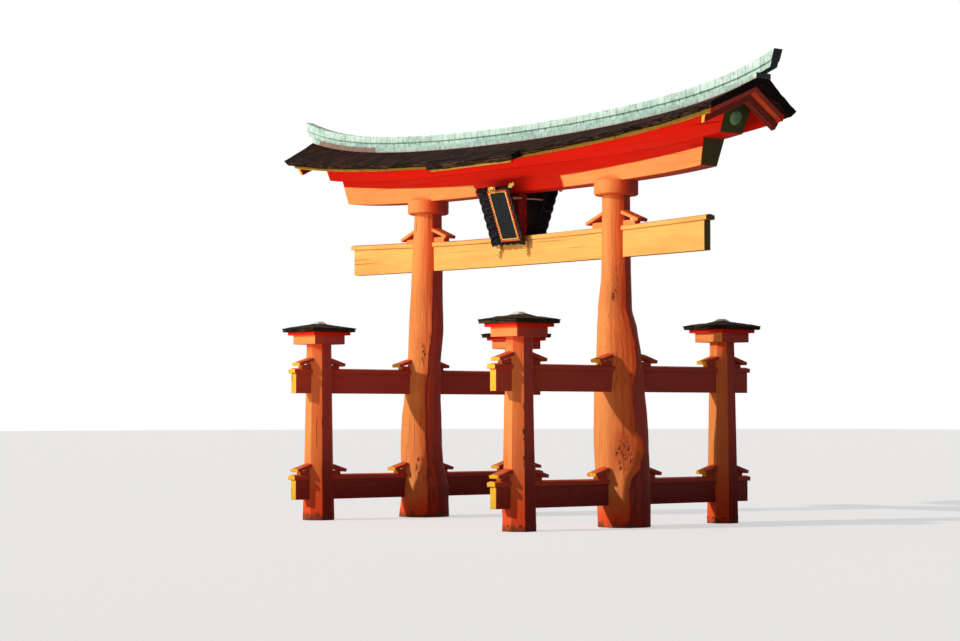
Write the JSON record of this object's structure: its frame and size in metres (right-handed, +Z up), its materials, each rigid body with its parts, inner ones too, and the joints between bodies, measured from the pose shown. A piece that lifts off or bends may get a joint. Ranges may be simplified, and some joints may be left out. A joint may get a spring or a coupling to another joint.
{
  "type": "torii gate",
  "caption": "Great four-legged timber torii standing in water, with natural trunk pillars, octagonal side posts and a curved bark roof under a copper-clad ridge.",
  "frame": {"origin": "on the waterline, midway between the two trunk pillars in both directions; the lowest point of every leg is at z = 0", "axes": "+X along the gate's width, from the left pillar to the right pillar as seen from the front; +Y towards the back; +Z up"},
  "size_m": [24.2016, 11.31, 14.712],
  "materials": {
    "trunk_wood": "worn vermilion paint on a natural trunk",
    "red_wood": "weathered vermilion paint",
    "yellow_wood": "yellow paint",
    "bark": "layered bark, matte",
    "copper": "copper sheet under green patina",
    "black_lacquer": "black lacquer",
    "gilt": "gilded"
  },
  "bodies": {
    "root": {"main_pillar_left": "trunk_wood", "main_pillar_right": "trunk_wood", "pillar_ring_left": "red_wood", "pillar_ring_right": "red_wood", "lower_lintel": "red_wood", "upper_lintel": "red_wood", "lintel_discs": "copper", "soffit_boards": "red_wood", "eave_boards": "yellow_wood", "gable_boards_left": "red_wood", "gable_boards_right": "red_wood", "bark_roof": "bark", "ridge_base": "copper", "ridge_body": "copper", "ridge_cap": "copper", "main_tie_beam": "red_wood", "main_tie_cap": "red_wood", "main_wedges": "red_wood", "main_slabs": "red_wood", "centre_strut": "red_wood", "board_frame_front": "black_lacquer", "board_panel_front": "black_lacquer", "board_border_front": "gilt", "board_frame_back": "black_lacquer", "board_panel_back": "black_lacquer", "board_border_back": "gilt", "board_stays": "red_wood", "upper_tie_left": "red_wood", "upper_tie_right": "red_wood", "lower_tie_left": "red_wood", "lower_tie_right": "red_wood", "tie_caps_left": "red_wood", "tie_caps_right": "red_wood", "tie_wedges_left": "red_wood", "tie_wedges_right": "red_wood", "tie_slabs_left": "red_wood", "tie_slabs_right": "red_wood", "side_post_front_left": "red_wood", "side_post_front_right": "red_wood", "side_post_back_left": "red_wood", "side_post_back_right": "red_wood", "post_capitals": "red_wood", "post_eave_boards": "red_wood", "post_roof_front_left": "bark", "post_roof_front_right": "bark", "post_roof_back_left": "bark", "post_roof_back_right": "bark"}
  },
  "joints": []
}
